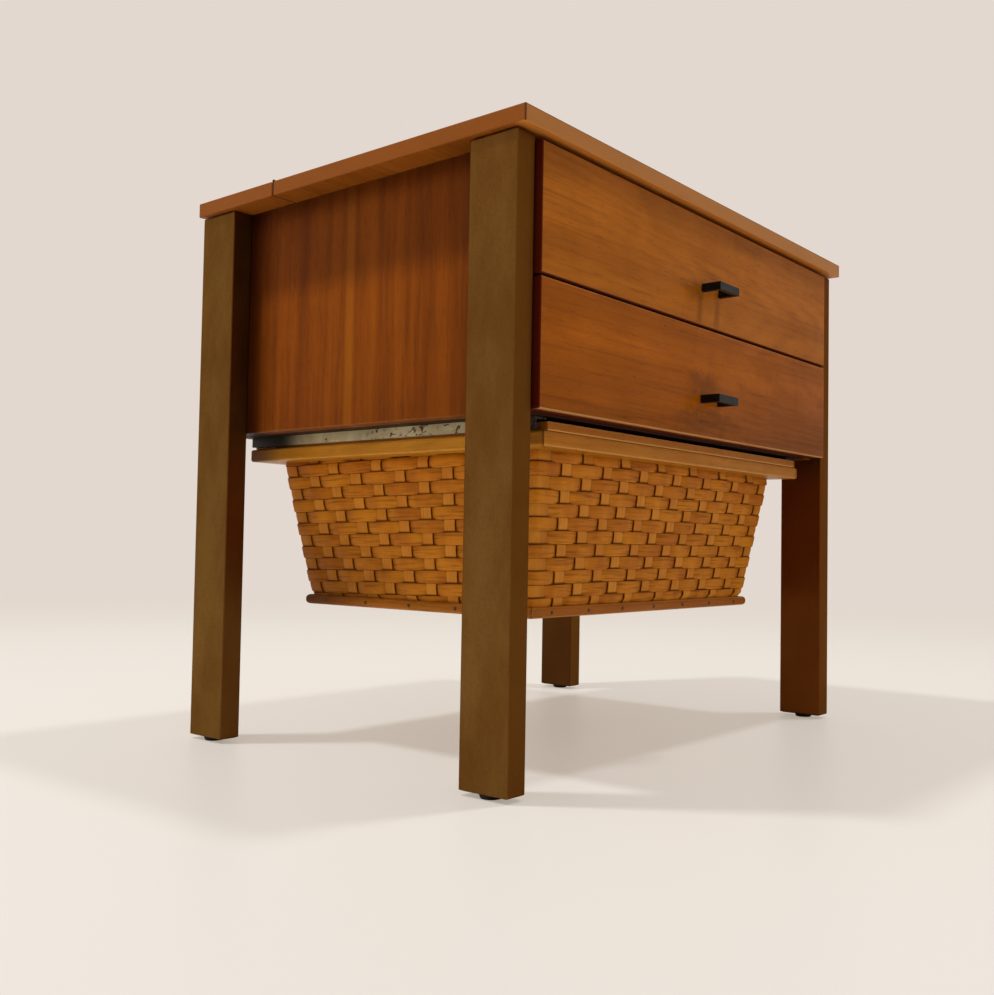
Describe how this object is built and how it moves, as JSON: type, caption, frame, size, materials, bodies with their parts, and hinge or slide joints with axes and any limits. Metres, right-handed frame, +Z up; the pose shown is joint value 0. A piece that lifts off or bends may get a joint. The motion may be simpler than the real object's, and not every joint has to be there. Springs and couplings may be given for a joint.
{
  "type": "sewing cabinet",
  "caption": "Low sewing cabinet on flat metal legs, with a hinged top, veneered drawers with bow pulls, and a tapered woven basket that slides out on runners below.",
  "frame": {"origin": "on the floor, under the middle of the overall box, drawer pulls included", "axes": "+Z up; the front faces -Y, the way the drawers and the basket slide out; +X to the right as seen from the front"},
  "size_m": [0.6, 0.4396, 0.5388],
  "materials": {
    "walnut_veneer": "satin lacquered walnut veneer",
    "walnut_side": "satin lacquered dark walnut veneer",
    "pale_wood": "bare pale wood",
    "rim_wood": "honey stained, lacquered beech",
    "chip_weave": "honey stained woven wood chip",
    "bronze_lacquer": "satin bronze lacquer with worn edges",
    "zinc_sheet": "dull zinc plate with rust spots",
    "hinge_brass": "dulled brass",
    "black_lacquer": "satin black lacquer",
    "foot_plastic": "matt black plastic"
  },
  "bodies": {
    "cabinet": {"top_rear_strip": "walnut_veneer", "hinge_leaf_strip": "hinge_brass", "hinge_pin": "hinge_brass", "leg_front_left": "bronze_lacquer", "leg_front_right": "bronze_lacquer", "leg_back_left": "bronze_lacquer", "leg_back_right": "bronze_lacquer", "foot_front_left": "foot_plastic", "foot_front_right": "foot_plastic", "foot_back_left": "foot_plastic", "foot_back_right": "foot_plastic", "side_panel_left": "walnut_side", "side_panel_right": "walnut_side", "back_panel": "walnut_side", "bottom_board": "pale_wood", "drawer_divider": "pale_wood", "basket_runner_left": "zinc_sheet", "basket_runner_right": "zinc_sheet", "upper_drawer_slide_strip_left": "pale_wood", "upper_drawer_slide_strip_right": "pale_wood", "lower_drawer_slide_strip_left": "pale_wood", "lower_drawer_slide_strip_right": "pale_wood"},
    "lid": {"lid": "walnut_veneer", "hinge_leaf_lid": "hinge_brass"},
    "upper_drawer": {"upper_drawer_front": "walnut_veneer", "upper_drawer_side_left": "pale_wood", "upper_drawer_side_right": "pale_wood", "upper_drawer_back": "pale_wood", "upper_drawer_bottom": "pale_wood", "upper_drawer_pull": "black_lacquer"},
    "lower_drawer": {"lower_drawer_front": "walnut_veneer", "lower_drawer_side_left": "pale_wood", "lower_drawer_side_right": "pale_wood", "lower_drawer_back": "pale_wood", "lower_drawer_bottom": "pale_wood", "lower_drawer_pull": "black_lacquer"},
    "basket": {"basket_rail_front": "rim_wood", "basket_rail_back": "rim_wood", "basket_rail_left": "rim_wood", "basket_rail_right": "rim_wood", "basket_cap_front": "rim_wood", "basket_cap_back": "rim_wood", "basket_cap_left": "rim_wood", "basket_cap_right": "rim_wood", "basket_wall_front": "chip_weave", "basket_wall_back": "chip_weave", "basket_wall_left": "chip_weave", "basket_wall_right": "chip_weave", "basket_bottom": "pale_wood", "basket_base_strip_front": "rim_wood", "basket_base_strip_back": "rim_wood", "basket_base_strip_left": "rim_wood", "basket_base_strip_right": "rim_wood"}
  },
  "joints": [
    {"name": "lid_hinge", "type": "hinge", "parent": "cabinet", "child": "lid", "pos_m": [0, 0.10225, 0.5373], "axis": [-1, 0, 0], "range_deg": [0, 180]},
    {"name": "upper_drawer_slide", "type": "slide", "parent": "cabinet", "child": "upper_drawer", "axis": [0, -1, 0], "range_m": [0, 0.28]},
    {"name": "lower_drawer_slide", "type": "slide", "parent": "cabinet", "child": "lower_drawer", "axis": [0, -1, 0], "range_m": [0, 0.28]},
    {"name": "basket_slide", "type": "slide", "parent": "cabinet", "child": "basket", "axis": [0, -1, 0], "range_m": [0, 0.3]}
  ]
}
